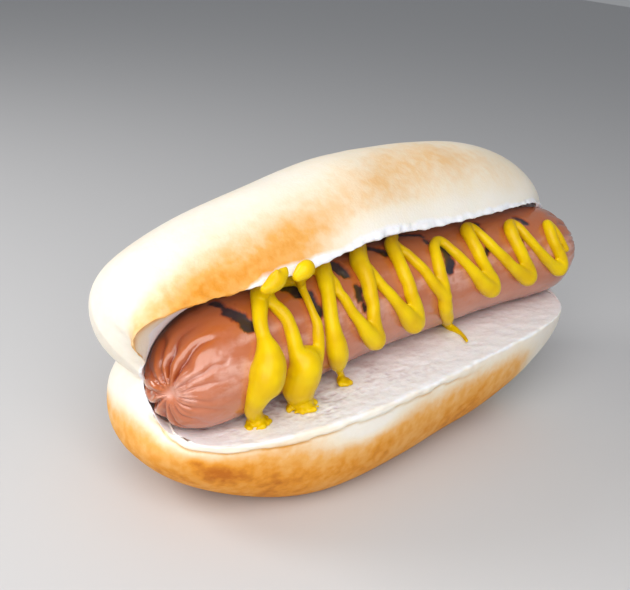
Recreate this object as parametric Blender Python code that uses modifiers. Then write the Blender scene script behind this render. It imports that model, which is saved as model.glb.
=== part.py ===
"""A hot dog: a grilled sausage in a hinged soft bun, with a zigzag of mustard.

Three solids: the bun (one piece of bread, cut open along its front and hinged
along its back), the sausage that lies in the cut, and the mustard squeezed over
it.  +X runs along the bun, -Y is the open front and +Z is up.  The origin is
on the surface that the bun stands on, under the middle of the whole.
Sections are drawn in the YZ plane, measured from the sausage's centre line.
"""
import math

import bmesh
import bpy
import numpy as np

MM = 0.001

# Sausage
SAUSAGE_RADIUS = 12.7 * MM
SAUSAGE_NEAR = -68.2 * MM
SAUSAGE_FAR = 74.5 * MM
SAUSAGE_Y = -4.2 * MM
SAUSAGE_Z = 33.1 * MM           # at x = 0
SAUSAGE_SLOPE = 0.0225          # the centre line climbs this much for each unit of x
SAUSAGE_BOW = 4.0 * MM          # the tips lie this much nearer the open front
SAUSAGE_LIFT = 0.6 * MM         # the middle lies this much over the straight line
SAUSAGE_PITCH = 0.65 * MM       # each half turns this much, near tip up
SAUSAGE_DROOP = 1.15 * MM       # the tips hang this much lower than the middle
NOSE_DROOP = 2.4 * MM           # and the near tip hangs by this much more
NOSE_REACH = 31.0 * MM          # bending down over this length
TIP_LENGTH = {"near": 24.0 * MM, "far": 16.0 * MM}
TIP_FULLNESS = {"near": 3.1, "far": 2.4}
SAUSAGE_SIDES = 28
SAUSAGE_RINGS = 40

# Bun, along X
LOWER_NEAR = -67.3 * MM
LOWER_FAR = 71.7 * MM
UPPER_NEAR = -69.1 * MM
UPPER_FAR = 74.4 * MM
HINGE_NEAR = -66.2 * MM
HINGE_FAR = 55.8 * MM
HINGE_HALF_WIDTH = 0.45         # share of each half that draws back to the hinge

# Bun, across: (y, z) from the sausage's centre line
LOWER_LIP = (-26.8 * MM, -8.8 * MM)
UPPER_LIP = (-10.3 * MM, 19.9 * MM)
UPPER_LIP_SLANT = {"near": (3.6 * MM, 2.0 * MM), "far": (0.9 * MM, -3.1 * MM)}
LIP_ARCH = 1.7 * MM             # the upper lip arches up by this much
LIP_ARCH_PLACE = -11.3 * MM
LIP_ARCH_WIDTH = 14.0 * MM
HINGE = (27.7 * MM, -10.0 * MM)
LOWER_DEPTH = 26.2 * MM         # crust of the lower half below the line lip to hinge
UPPER_DEPTH = 26.9 * MM
LOWER_TAPER = -0.112            # change of depth from the middle to the far end
UPPER_TAPER = 0.146
LOWER_FULLNESS = {"near": 2.97, "far": 2.85}    # 2 is an ellipse, more is squarer
UPPER_FULLNESS = {"near": 2.60, "far": 2.27}
BED_GAP = 0.4 * MM              # sausage to crumb
FLOOR_EASE = 2.0 * MM           # the crust meets its flat base in a curve this high

# Bun, ends: how late each half rounds off, and how late and how far its lip draws in
LOWER_ROUNDING = {"near": 4.13, "far": 2.03}
UPPER_ROUNDING = {"near": 3.00, "far": 2.15}
LOWER_LIP_ROUNDING = {"near": 3.79, "far": 4.40}
UPPER_LIP_ROUNDING = {"near": 2.84, "far": 2.82}
LOWER_LIP_DRAW = {"near": 1.03, "far": 0.88}
UPPER_LIP_DRAW = {"near": 0.85, "far": 0.93}
LOWER_LIP_CORNER = {"near": 4.1 * MM, "far": 6.9 * MM}
UPPER_LIP_CORNER = {"near": -1.1 * MM, "far": 11.3 * MM}
LOWER_TANGENT = 279.3           # degrees, where the crumb leaves the sausage
UPPER_TANGENT = 70.2
LIP_CLEARANCE = 1.1
UPPER_LIP_GAP = {"near": 2.5 * MM, "far": 0.0}      # and the upper lip stands off by this
TIP_WRAP = {"near": 1.0, "far": 0.55}   # how far the bed narrows round the sausage's tips
END_RISE = {"near": 5.4 * MM, "far": 1.7 * MM}      # the ends curve up off the table
RISE_START = 0.43               # from this share of each half
RISE_REACH = 22.0 * MM          # fading out at this height
NOTCH_DEPTH = {"near": 0.59, "far": 0.15}       # the halves part a little at the ends
NOTCH_PLACE = 0.064
NOTCH_WIDTH = 0.079
NOTCH_START = 0.75
# The crust swells past the ends of the bed: at the lower half, the hinge and the upper half
END_BULGE = {"near": (4.4 * MM, 2.5 * MM, 7.7 * MM), "far": (0.0, 0.0, 0.0)}
BULGE_PLACES = (-0.45, 0.05, 0.45)
STATION_EASE = 0.8
STATIONS = 35
RUNS = 32                       # faces from lip to lip

# Mustard: (x, angle, bead radius); the angle turns from the top to the front
MUSTARD_GAP = 0.35 * MM
MUSTARD_VOXEL = 0.8 * MM
MUSTARD_KEPT = 0.095        # share of the faces kept when thinned out
BEAD_STEP = 1.5 * MM
BEAD_SIDES = 6
ZIGZAG = (
    (-23.5, 16, 2.0), (-27, 42, 2.1), (-21.5, 70, 2.1), (-16, 100, 2.9), (-17, 66, 2.3),
    (-10.5, 16, 2.0), (-11, 42, 2.0), (-7, 75, 2.1), (-3, 98, 3.0), (-4.5, 62, 2.3),
    (0.5, 16, 2.0), (1, 42, 1.9), (4.5, 68, 1.9), (6.7, 80, 2.0),
)
ZIGZAG_FAR = (
    (6.5, 76, 2.0), (9, 50, 1.9), (15, 20, 1.9), (17, 46, 2.0), (24, 77, 2.1),
    (28, 93, 2.7), (25.5, 52, 2.0), (27, 18, 1.9), (30.5, 46, 1.9), (37, 78, 2.1),
    (43, 94, 2.6), (40.5, 52, 2.0), (41.4, 20, 1.9), (44, 48, 1.9), (49, 80, 2.1),
    (53, 94, 2.5), (53.2, 62, 2.0), (54, 34, 1.9),
)
NEAR_STRAND = (
    (-42.5, 18, 2.3), (-46.5, 34, 1.9), (-50.5, 52, 2.4), (-52, 72, 4.0), (-52.5, 96, 3.2),
)
MIDDLE_STRAND = (
    (-43, 18, 2.2), (-43, 42, 1.9), (-41.7, 66, 2.2), (-39, 88, 4.0), (-38, 104, 3.6),
)
THIN_STRAND = (
    (-33, 20, 1.8), (-35, 42, 1.3), (-34.7, 60, 1.4), (-36, 86, 2.4),
)
HANGING_STRAND = (
    (-27, 42, 2.1), (-28.6, 72, 2.2), (-28.4, 96, 2.1),
)
DRIP_STRAND = (
    (6.7, 78, 2.1), (8, 90, 2.0), (11.5, 108, 1.7),
)
UNDER_LIP = (
    (-42.8, 18, 2.1), (-38, 12, 1.9), (-33, 16, 1.9), (-28, 12, 1.9), (-23.5, 16, 2.0),
)
# Feet on the lower crumb: (x, y from the centre line, bead radius)
NEAR_FOOT = ((-50.5, -12.6, 2.3), (-50, -15.2, 2.3))
MIDDLE_FOOT = ((-37.5, -14, 3.2), (-38.3, -15.6, 2.8))
HANGING_FOOT = ((-25.5, -12.6, 1.6), (-25, -14.6, 1.9))
DRIP_FOOT = ((15.5, -12.8, 1.5), (15, -16, 1.3))
# Drops that cling to the upper lip and run down to a strand: (x, angle below, radius)
LIP_DROPS = ((-45, 34, 2.7), (-36.5, 34, 2.7))
LIP_DROP_HANG = 2.2 * MM
LIP_DROP_NECK = 1.8             # bead radius where the drop meets its strand

CRUST_COLOUR = (0.62, 0.36, 0.14, 1.0)
SAUSAGE_COLOUR = (0.45, 0.13, 0.07, 1.0)
MUSTARD_COLOUR = (0.80, 0.53, 0.01, 1.0)


def clear_scene():
    for item in list(bpy.data.objects):
        bpy.data.objects.remove(item)


def new_collection(name):
    collection = bpy.data.collections.new(name)
    bpy.context.scene.collection.children.link(collection)
    return collection


def new_material(name, colour, roughness):
    material = bpy.data.materials.new(name)
    material.use_nodes = True
    shader = material.node_tree.nodes["Principled BSDF"]
    shader.inputs["Base Color"].default_value = colour
    shader.inputs["Roughness"].default_value = roughness
    shader.inputs["Metallic"].default_value = 0.0
    return material


def new_object(name, mesh, collection, material=None):
    item = bpy.data.objects.new(name, mesh)
    collection.objects.link(item)
    if material:
        mesh.materials.append(material)
    return item


def smooth_step(value):
    value = np.clip(value, 0.0, 1.0)
    return value * value * (3.0 - 2.0 * value)


def superellipse_fall(value, power):
    """1 in the middle, falling to 0 with a round shoulder at value = 1."""
    return math.sqrt(max(1.0 - abs(value) ** power, 0.0))


# ---------------------------------------------------------------- sausage

def sausage_bend(x):
    """How far the centre line leaves a straight one at x, as (y, z)."""
    middle = (SAUSAGE_NEAR + SAUSAGE_FAR) / 2
    share = (x - middle) / ((SAUSAGE_FAR - SAUSAGE_NEAR) / 2)
    nose = min(max((SAUSAGE_NEAR + NOSE_REACH - x) / NOSE_REACH, 0.0), 1.0)
    lift = SAUSAGE_LIFT - SAUSAGE_PITCH * share - SAUSAGE_DROOP * share ** 2
    return -SAUSAGE_BOW * share ** 2, lift - NOSE_DROOP * nose ** 2


def sausage_axis(x):
    """Centre line of the sausage at x, as (y, z)."""
    aside, up = sausage_bend(x)
    return SAUSAGE_Y + aside, SAUSAGE_Z + SAUSAGE_SLOPE * x + up


def sausage_girth(x):
    """Share of the full radius at x: 1 along the body, 0 at the tips."""
    girth = 1.0
    for end, from_tip in (("near", x - SAUSAGE_NEAR), ("far", SAUSAGE_FAR - x)):
        short = 1.0 - min(max(from_tip / TIP_LENGTH[end], 0.0), 1.0)
        girth *= superellipse_fall(short, TIP_FULLNESS[end])
    return girth


def make_sausage(collection, material):
    """A ball drawn out along the bowed centre line."""
    shape = bmesh.new()
    bmesh.ops.create_uvsphere(shape, u_segments=SAUSAGE_SIDES, v_segments=SAUSAGE_RINGS, radius=1.0)
    middle = (SAUSAGE_NEAR + SAUSAGE_FAR) / 2
    half = (SAUSAGE_FAR - SAUSAGE_NEAR) / 2
    for vertex in shape.verts:
        across, up, along = vertex.co
        x = middle + half * along
        turn = math.atan2(up, across)
        radius = SAUSAGE_RADIUS * sausage_girth(x)
        y, z = sausage_axis(x)
        vertex.co = (x, y + radius * math.cos(turn), z + radius * math.sin(turn))
    bmesh.ops.recalc_face_normals(shape, faces=shape.faces)
    mesh = bpy.data.meshes.new("sausage")
    shape.to_mesh(mesh)
    shape.free()
    mesh.shade_smooth()
    return new_object("sausage", mesh, collection, material)


# -------------------------------------------------------------------- bun

def evenly(line, count):
    """The polyline resampled to count points at equal steps."""
    steps = np.linalg.norm(np.diff(line, axis=0), axis=1)
    along = np.concatenate([[0.0], np.cumsum(steps)])
    at = np.linspace(0.0, along[-1], count)
    return np.stack([np.interp(at, along, line[:, k]) for k in range(line.shape[1])], axis=1)


def arch(start, end, depth, fullness, count):
    """Superellipse arch from start to end, standing out to its right by depth."""
    chord = end - start
    outward = np.array([chord[1], -chord[0]]) / np.hypot(*chord)
    turn = np.linspace(0.0, math.pi, 2 * count)
    along = np.sign(np.cos(turn)) * np.abs(np.cos(turn)) ** (2 / fullness)
    out = np.abs(np.sin(turn)) ** (2 / fullness)
    line = (start + end) / 2 - np.outer(along, chord / 2) + np.outer(out, outward) * depth
    return evenly(line, count)


def rim(radius, degrees):
    turn = math.radians(degrees)
    return np.array([radius * math.cos(turn), radius * math.sin(turn)])


def bed(lower_lip, upper_lip, radius, count):
    """Crumb section: straight off each lip, and round the back of the sausage."""
    def touch(lip, side):
        reach = max(float(np.hypot(*lip)), radius * 1.01)
        return (math.atan2(lip[1], lip[0]) + side * math.acos(radius / reach)) % (2 * math.pi)
    lower_turn = np.linspace(touch(lower_lip, 1), 2 * math.pi, count)
    upper_turn = np.linspace(0.0, touch(upper_lip, -1), count)
    lower = np.stack([np.cos(lower_turn), np.sin(lower_turn)], axis=1) * radius
    upper = np.stack([np.cos(upper_turn), np.sin(upper_turn)], axis=1) * radius
    lower = evenly(np.vstack([lower_lip, lower]), count)
    upper = evenly(np.vstack([upper, upper_lip]), count)
    return np.vstack([lower, upper[1:]])


def ease_on_floor(z):
    """Points under the floor come up to it, and points just above meet it in a curve."""
    near = (z / FLOOR_EASE + 1.0) / 2.0
    return np.where(near > 1.0, z, FLOOR_EASE * np.clip(near, 0.0, 1.0) ** 2)


def blend(ends, share):
    """A value that runs from its near to its far setting along the bun."""
    return ends["near"] + (ends["far"] - ends["near"]) * (1.0 + share) / 2.0


def bun_section(share):
    """Crumb and crust of the bun at share of its length, -1 near and 1 far."""
    end = "near" if share < 0 else "far"
    x = (LOWER_NEAR + LOWER_FAR) / 2 + share * (LOWER_FAR - LOWER_NEAR) / 2
    centre = np.array(sausage_bend(x))
    radius = SAUSAGE_RADIUS * (1.0 - TIP_WRAP[end] * (1.0 - sausage_girth(x))) + BED_GAP
    lower_draw = LOWER_LIP_DRAW[end] * (1.0 - superellipse_fall(share, LOWER_LIP_ROUNDING[end]))
    upper_draw = UPPER_LIP_DRAW[end] * (1.0 - superellipse_fall(share, UPPER_LIP_ROUNDING[end]))
    lower_goal = centre + rim(LIP_CLEARANCE * radius, LOWER_TANGENT)
    upper_goal = centre + rim(LIP_CLEARANCE * radius + UPPER_LIP_GAP[end], UPPER_TANGENT)
    lower_lip = np.array(LOWER_LIP)
    upper_lip = np.array(UPPER_LIP) + share * np.array(UPPER_LIP_SLANT[end])
    upper_lip[1] += LIP_ARCH * math.exp(-((x - LIP_ARCH_PLACE) / LIP_ARCH_WIDTH) ** 2)
    lower_lip = lower_lip + (lower_goal - lower_lip) * lower_draw
    upper_lip = upper_lip + (upper_goal - upper_lip) * upper_draw
    count = RUNS // 2 + 1
    hinge = np.array(HINGE)
    lower_depth = LOWER_DEPTH * (1.0 + LOWER_TAPER * share)
    upper_depth = UPPER_DEPTH * (1.0 + UPPER_TAPER * share)
    lower_crust = arch(lower_lip, hinge, lower_depth, blend(LOWER_FULLNESS, share), count)
    upper_crust = arch(hinge, upper_lip, upper_depth, blend(UPPER_FULLNESS, share), count)
    crust = np.vstack([lower_crust, upper_crust[1:]])
    crumb = bed(lower_lip - centre, upper_lip - centre, radius, count) + centre
    return crumb, crust


def clearing(crumb, x):
    """The shift that takes each point of the crumb out of the sausage at that point's x."""
    away = crumb - np.array([sausage_bend(place) for place in x])
    reach = np.hypot(away[:, 0], away[:, 1])
    needed = SAUSAGE_RADIUS * np.array([sausage_girth(place) for place in x]) + BED_GAP
    return away * (np.maximum(needed - reach, 0.0) / reach)[:, None]


def bun_sheets():
    """Grids of points for the crumb and for the crust, closing on each other at the ends."""
    across = np.linspace(-1.0, 1.0, RUNS + 1)
    from_hinge = np.abs(across)
    upper = across > 0
    reach = np.sqrt(smooth_step(from_hinge / HINGE_HALF_WIDTH))
    lip_share = from_hinge ** 6
    near = HINGE_NEAR + (np.where(upper, UPPER_NEAR, LOWER_NEAR) - HINGE_NEAR) * reach
    far = HINGE_FAR + (np.where(upper, UPPER_FAR, LOWER_FAR) - HINGE_FAR) * reach
    near += np.where(upper, UPPER_LIP_CORNER["near"], LOWER_LIP_CORNER["near"]) * lip_share
    far -= np.where(upper, UPPER_LIP_CORNER["far"], LOWER_LIP_CORNER["far"]) * lip_share
    upper_share = smooth_step((across + 0.3) / 0.6)
    notch = np.exp(-((across - NOTCH_PLACE) / NOTCH_WIDTH) ** 2)
    crumb_rows = []
    crust_rows = []
    for turn in np.linspace(-math.pi / 2, math.pi / 2, STATIONS):
        share = math.copysign(abs(math.sin(turn)) ** STATION_EASE, turn)
        end = "near" if share < 0 else "far"
        crumb, crust = bun_section(share)
        lower_body = superellipse_fall(share, LOWER_ROUNDING[end])
        upper_body = superellipse_fall(share, UPPER_ROUNDING[end])
        parting = NOTCH_DEPTH[end] * notch * smooth_step((abs(share) - NOTCH_START) / (1.0 - NOTCH_START))
        body = (lower_body + (upper_body - lower_body) * upper_share) * (1.0 - parting)
        crust = crumb + (crust - crumb) * body[:, None]
        x = (near + far) / 2 + share * (far - near) / 2
        shift = clearing(crumb, x)
        height = SAUSAGE_Z + SAUSAGE_SLOPE * x
        bulge = np.interp(across, BULGE_PLACES, END_BULGE[end]) * np.sin(math.pi * body)
        outer_x = x + math.copysign(1.0, share) * bulge
        rise = END_RISE[end] * smooth_step((abs(share) - RISE_START) / (1.0 - RISE_START))
        for rows, line, place in ((crumb_rows, crumb + shift, x), (crust_rows, crust + shift, outer_x)):
            rows.append(np.column_stack([place, line[:, 0] + SAUSAGE_Y, line[:, 1] + height]))
        z = crust_rows[-1][:, 2]
        z = z + rise * (1.0 - smooth_step(z / RISE_REACH))
        crust_rows[-1][:, 2] = ease_on_floor(z)
    return np.array(crumb_rows), np.array(crust_rows)


def make_bun(collection, material):
    """A loft between two unlike sheets: the crust outside and the crumb inside."""
    crumb, crust = bun_sheets()
    stations, runs = crust.shape[:2]
    shape = bmesh.new()
    outer = [[shape.verts.new(point) for point in row] for row in crust]
    inner = []
    for station in range(stations):
        row = list(outer[station])
        if 0 < station < stations - 1:
            for run in range(1, runs - 1):
                row[run] = shape.verts.new(crumb[station][run])
        inner.append(row)
    for grid in (outer, inner):
        for station in range(stations - 1):
            for run in range(runs - 1):
                corners = [grid[station][run], grid[station + 1][run],
                           grid[station + 1][run + 1], grid[station][run + 1]]
                shape.faces.new(corners)
    bmesh.ops.recalc_face_normals(shape, faces=shape.faces)
    mesh = bpy.data.meshes.new("bun")
    shape.to_mesh(mesh)
    shape.free()
    mesh.shade_smooth()
    return new_object("bun", mesh, collection, material)


# ---------------------------------------------------------------- mustard

def on_sausage(x, angle, radius):
    """Centre of a bead that clings to the sausage, and its radius."""
    x = x * MM
    radius = radius * MM
    y, z = sausage_axis(x)
    away = SAUSAGE_RADIUS + MUSTARD_GAP + 0.35 * radius + 0.6 * MM
    turn = math.radians(angle)
    return np.array([x, y - away * math.sin(turn), z + away * math.cos(turn), radius])


def on_crumb(x, y, radius):
    """Centre of a bead that stands on the lower crumb, and its radius."""
    centre_y, centre_z = sausage_axis(x * MM)
    slope = (-SAUSAGE_RADIUS - LOWER_LIP[1]) / -LOWER_LIP[0]
    z = centre_z - SAUSAGE_RADIUS - slope * y * MM
    return np.array([x * MM, centre_y + y * MM, z + 0.5 * radius * MM, radius * MM])


def under_upper_lip(x, radius):
    """Centre of a drop that hangs from the upper lip, and its radius."""
    centre_y, centre_z = sausage_axis(x * MM)
    y = centre_y + UPPER_LIP[0]
    return np.array([x * MM, y, centre_z + UPPER_LIP[1] - LIP_DROP_HANG, radius * MM])


def smooth_line(points, step):
    """A Catmull-Rom curve through the points, with a point about every step."""
    points = np.vstack([2 * points[0] - points[1], points, 2 * points[-1] - points[-2]])
    line = []
    for index in range(1, len(points) - 2):
        before, start, end, after = points[index - 1:index + 3]
        count = max(2, int(np.linalg.norm((end - start)[:3]) / step))
        for t in np.linspace(0.0, 1.0, count, endpoint=False):
            line.append(0.5 * (2 * start + (end - before) * t
                               + (2 * before - 5 * start + 4 * end - after) * t ** 2
                               + (3 * start - before - 3 * end + after) * t ** 3))
    line.append(points[-2])
    return np.array(line)


def bead(name, points):
    """A squeezed bead as a mesh: a curve with a radius at each point and round ends."""
    line = smooth_line(points, BEAD_STEP)
    curve = bpy.data.curves.new(name, "CURVE")
    curve.dimensions = "3D"
    curve.bevel_depth = 1.0
    curve.bevel_resolution = BEAD_SIDES
    curve.use_fill_caps = True
    spline = curve.splines.new("POLY")
    spline.points.add(len(line) - 1)
    for target, (x, y, z, radius) in zip(spline.points, line):
        target.co = (x, y, z, 1.0)
        target.radius = radius
    return curve


def curve_as_bmesh(curve, shape):
    """Adds the curve's tube to shape, with its loose caps welded on."""
    holder = bpy.data.objects.new(curve.name, curve)
    bpy.context.scene.collection.objects.link(holder)
    graph = bpy.context.evaluated_depsgraph_get()
    mesh = bpy.data.meshes.new_from_object(holder.evaluated_get(graph))
    shape.from_mesh(mesh)
    bpy.data.objects.remove(holder)
    bpy.data.meshes.remove(mesh)


def ball(shape, centre, radius):
    made = bmesh.ops.create_uvsphere(shape, u_segments=16, v_segments=10, radius=radius)
    bmesh.ops.translate(shape, verts=made["verts"], vec=centre)


def grown_cutter(source, collection):
    """A copy of a piece, larger by the mustard's gap, that cuts the mustard."""
    cutter = new_object(source.name + "_cutter", source.data.copy(), collection)
    grow = cutter.modifiers.new("grow", "DISPLACE")
    grow.mid_level = 0.0
    grow.strength = MUSTARD_GAP
    cutter.hide_render = True
    cutter.display_type = "WIRE"
    return cutter


def make_mustard(collection, material, cutters):
    """Beads run together into one body, then cut clear of the sausage and the bun."""
    strands = {
        "zigzag": [on_sausage(*point) for point in ZIGZAG],
        "zigzag_far": [on_sausage(*point) for point in ZIGZAG_FAR],
        "near": [on_sausage(*p) for p in NEAR_STRAND] + [on_crumb(*p) for p in NEAR_FOOT],
        "middle": [on_sausage(*p) for p in MIDDLE_STRAND] + [on_crumb(*p) for p in MIDDLE_FOOT],
        "thin": [on_sausage(*point) for point in THIN_STRAND],
        "hanging": [on_sausage(*p) for p in HANGING_STRAND] + [on_crumb(*p) for p in HANGING_FOOT],
        "drip": [on_sausage(*p) for p in DRIP_STRAND] + [on_crumb(*p) for p in DRIP_FOOT],
        "under_lip": [on_sausage(*point) for point in UNDER_LIP],
    }
    for x, angle, radius in LIP_DROPS:
        strands[f"drop {x}"] = [under_upper_lip(x, radius), on_sausage(x, angle, LIP_DROP_NECK)]
    shape = bmesh.new()
    for name, points in strands.items():
        curve_as_bmesh(bead(name, np.array(points)), shape)
        for x, y, z, radius in (points[0], points[-1]):
            ball(shape, (x, y, z), radius)
    bmesh.ops.remove_doubles(shape, verts=shape.verts, dist=0.00001)
    mesh = bpy.data.meshes.new("mustard")
    shape.to_mesh(mesh)
    shape.free()
    mustard = new_object("mustard", mesh, collection, material)
    merge = mustard.modifiers.new("run together", "REMESH")
    merge.mode = "VOXEL"
    merge.voxel_size = MUSTARD_VOXEL
    merge.use_smooth_shade = True
    thin = mustard.modifiers.new("thin out", "DECIMATE")
    thin.ratio = MUSTARD_KEPT
    for cutter in cutters:
        cut = mustard.modifiers.new("clear of " + cutter.name, "BOOLEAN")
        cut.operation = "DIFFERENCE"
        cut.solver = "EXACT"
        cut.object = cutter
    return mustard


clear_scene()
parts = new_collection("hot_dog")
helpers = new_collection("cutters")
bun = make_bun(parts, new_material("crust", CRUST_COLOUR, 0.55))
sausage = make_sausage(parts, new_material("grilled skin", SAUSAGE_COLOUR, 0.32))
gap_cutters = [grown_cutter(sausage, helpers), grown_cutter(bun, helpers)]
make_mustard(parts, new_material("mustard", MUSTARD_COLOUR, 0.25), gap_cutters)
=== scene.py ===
"""Looks of a hot dog: a soft bread bun, a grilled sausage and a zigzag of mustard.

Lengths are in metres, MM turns millimetres into metres.  +X runs along the
bun, -Y is its open front and +Z is up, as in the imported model.
"""
import math

import bpy
import numpy as np
from mathutils import Matrix, Vector, noise


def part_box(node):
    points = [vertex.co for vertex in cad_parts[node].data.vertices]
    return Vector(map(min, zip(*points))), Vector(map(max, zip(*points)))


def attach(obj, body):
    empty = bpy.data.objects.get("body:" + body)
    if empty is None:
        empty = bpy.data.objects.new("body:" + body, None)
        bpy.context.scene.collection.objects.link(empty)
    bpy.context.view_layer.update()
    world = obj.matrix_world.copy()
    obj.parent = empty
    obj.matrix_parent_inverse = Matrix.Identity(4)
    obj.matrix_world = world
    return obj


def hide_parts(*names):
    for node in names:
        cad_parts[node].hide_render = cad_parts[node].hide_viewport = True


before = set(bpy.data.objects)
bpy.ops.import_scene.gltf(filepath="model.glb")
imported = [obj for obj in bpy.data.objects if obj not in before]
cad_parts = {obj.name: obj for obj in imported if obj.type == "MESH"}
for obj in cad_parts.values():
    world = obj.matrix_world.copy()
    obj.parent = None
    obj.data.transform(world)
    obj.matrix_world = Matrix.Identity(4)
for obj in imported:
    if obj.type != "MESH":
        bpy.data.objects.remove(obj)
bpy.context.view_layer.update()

MM = 0.001


# ------------------------------------------------------------------ studio
# A pale table top and soft daylight from above and behind the near end.  The
# camera looks down on the open front from beside the near end.

CAMERA_PLACE = Vector((-157.64, -131.90, 118.47)) * MM
CAMERA_HEADING = -46.69         # degrees about Z
CAMERA_HEIGHT = 23.32           # degrees above the table
CAMERA_ROLL = 5.97
CAMERA_LENS = 51.43             # on a 36 mm sensor
FLOOR_SIDE = 3.0
FLOOR_COLOUR = (0.60, 0.60, 0.61, 1.0)
SKY_COLOUR = (0.93, 0.96, 1.0, 1.0)
SKY_STRENGTH = 0.30
# name: (place in mm, side in mm, power in watts, colour)
LAMPS = {
    "window": ((-305, 290, 285), 190, 0.86, (1.0, 0.98, 0.95)),
    "soft box": ((-275, -215, 300), 520, 2.25, (1.0, 0.98, 0.96)),
}

scene = bpy.context.scene
bpy.ops.object.select_all(action="DESELECT")

heading = Matrix.Rotation(math.radians(CAMERA_HEADING), 4, "Z")
tilt = Matrix.Rotation(math.radians(90 - CAMERA_HEIGHT), 4, "X")
roll = Matrix.Rotation(math.radians(CAMERA_ROLL), 4, "Z")
bpy.ops.object.camera_add()
camera = bpy.context.object
camera.matrix_world = Matrix.Translation(CAMERA_PLACE) @ heading @ tilt @ roll
camera.data.lens = CAMERA_LENS
camera.data.sensor_width = 36
camera.data.clip_start = 5 * MM
scene.camera = camera

for name, (place, side, power, colour) in LAMPS.items():
    place = Vector(place) * MM
    towards = Vector((0, 0, 30 * MM)) - place
    bpy.ops.object.light_add(type="AREA", location=place, rotation=towards.to_track_quat("-Z", "Y").to_euler())
    lamp = bpy.context.object
    lamp.name = name
    lamp.data.shape = "DISK"
    lamp.data.size = side * MM
    lamp.data.energy = power
    lamp.data.color = colour

world = bpy.data.worlds.new("soft daylight")
world.use_nodes = True
world.node_tree.nodes["Background"].inputs["Color"].default_value = SKY_COLOUR
world.node_tree.nodes["Background"].inputs["Strength"].default_value = SKY_STRENGTH
scene.world = world
scene.view_settings.view_transform = "Standard"

bpy.ops.mesh.primitive_plane_add(size=FLOOR_SIDE)
floor = bpy.context.object
floor.name = "table_top"
floor_paint = bpy.data.materials.new("pale table top")
floor_paint.use_nodes = True
floor_shader = floor_paint.node_tree.nodes["Principled BSDF"]
floor_shader.inputs["Base Color"].default_value = FLOOR_COLOUR
floor_shader.inputs["Roughness"].default_value = 0.9
floor.data.materials.append(floor_paint)


# --------------------------------------------------------------------- bun
# The bun is one piece of soft white bread, cut open along its front and left
# joined along its back.  Its thin baked crust is pale cream with golden
# patches, and browner underneath; the cut faces are white, porous crumb.

SAUSAGE_RADIUS = 12.7 * MM
SAUSAGE_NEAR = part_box("sausage")[0].x
SAUSAGE_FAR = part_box("sausage")[1].x
SAUSAGE_Y = -4.2 * MM
SAUSAGE_Z = 33.1 * MM           # at x = 0
SAUSAGE_SLOPE = 0.0225          # the centre line climbs this much for each unit of x
SAUSAGE_BOW = 4.0 * MM          # the tips lie this much nearer the open front
SAUSAGE_LIFT = 0.6 * MM         # the middle lies this much over the bun's own line
SAUSAGE_PITCH = 0.65 * MM       # each half turns this much, near tip up
SAUSAGE_DROOP = 1.15 * MM       # the tips hang this much lower than the middle
NOSE_DROOP = 2.4 * MM           # and the near tip hangs by this much more
NOSE_REACH = 31.0 * MM          # bending down over this length
TIP_LENGTH = {"near": 24.0 * MM, "far": 16.0 * MM}
TIP_FULLNESS = {"near": 3.1, "far": 2.4}

LOWER_NEAR, LOWER_FAR = -67.3 * MM, 71.7 * MM
UPPER_NEAR, UPPER_FAR = -69.1 * MM, 74.4 * MM
HINGE_NEAR, HINGE_FAR = -66.2 * MM, 55.8 * MM
HINGE_HALF_WIDTH = 0.45         # share of each half that draws back to the hinge
LOWER_LIP = (-26.8 * MM, -8.8 * MM)     # (y, z) from the sausage's centre line
UPPER_LIP = (-10.3 * MM, 19.9 * MM)
UPPER_LIP_SLANT = {"near": (3.6 * MM, 2.0 * MM), "far": (0.9 * MM, -3.1 * MM)}
HINGE = (27.7 * MM, -10.0 * MM)
LOWER_DEPTH, LOWER_TAPER = 26.2 * MM, -0.112
UPPER_DEPTH, UPPER_TAPER = 26.9 * MM, 0.146
LOWER_FULLNESS = {"near": 2.97, "far": 2.85}      # 2 is an ellipse, more is squarer
UPPER_FULLNESS = {"near": 2.60, "far": 2.27}
BED_GAP = 0.1 * MM              # sausage to crumb
END_RISE = {"near": 5.4 * MM, "far": 1.7 * MM}   # the ends curve up off the table
RISE_START = 0.43               # from this share of each half
RISE_REACH = 22.0 * MM          # fading out at this height
NOTCH_DEPTH = {"near": 0.59, "far": 0.15}       # the halves part a little at the ends
NOTCH_PLACE, NOTCH_WIDTH = 0.064, 0.079
NOTCH_START = 0.75
FLOOR_EASE = 2.0 * MM           # the crust meets its flat base in a curve this high
LOWER_ROUNDING = {"near": 4.13, "far": 2.03}        # how late each half rounds off
UPPER_ROUNDING = {"near": 3.00, "far": 2.15}
LOWER_LIP_ROUNDING = {"near": 3.79, "far": 4.40}    # and how late and how far its lip draws in
UPPER_LIP_ROUNDING = {"near": 2.84, "far": 2.82}
LOWER_LIP_DRAW = {"near": 1.03, "far": 0.88}
UPPER_LIP_DRAW = {"near": 0.85, "far": 0.93}
LOWER_LIP_CORNER = {"near": 4.1 * MM, "far": 6.9 * MM}
UPPER_LIP_CORNER = {"near": -1.1 * MM, "far": 11.3 * MM}
LOWER_TANGENT, UPPER_TANGENT = 279.3, 70.2      # degrees, where the crumb leaves the sausage
LIP_CLEARANCE = 1.1
UPPER_LIP_GAP = {"near": 2.5 * MM, "far": 0.0}      # the upper lip stands this much further off the tip
TIP_WRAP = {"near": 1.0, "far": 0.55}   # how far the bed narrows round the sausage's tips
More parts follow.
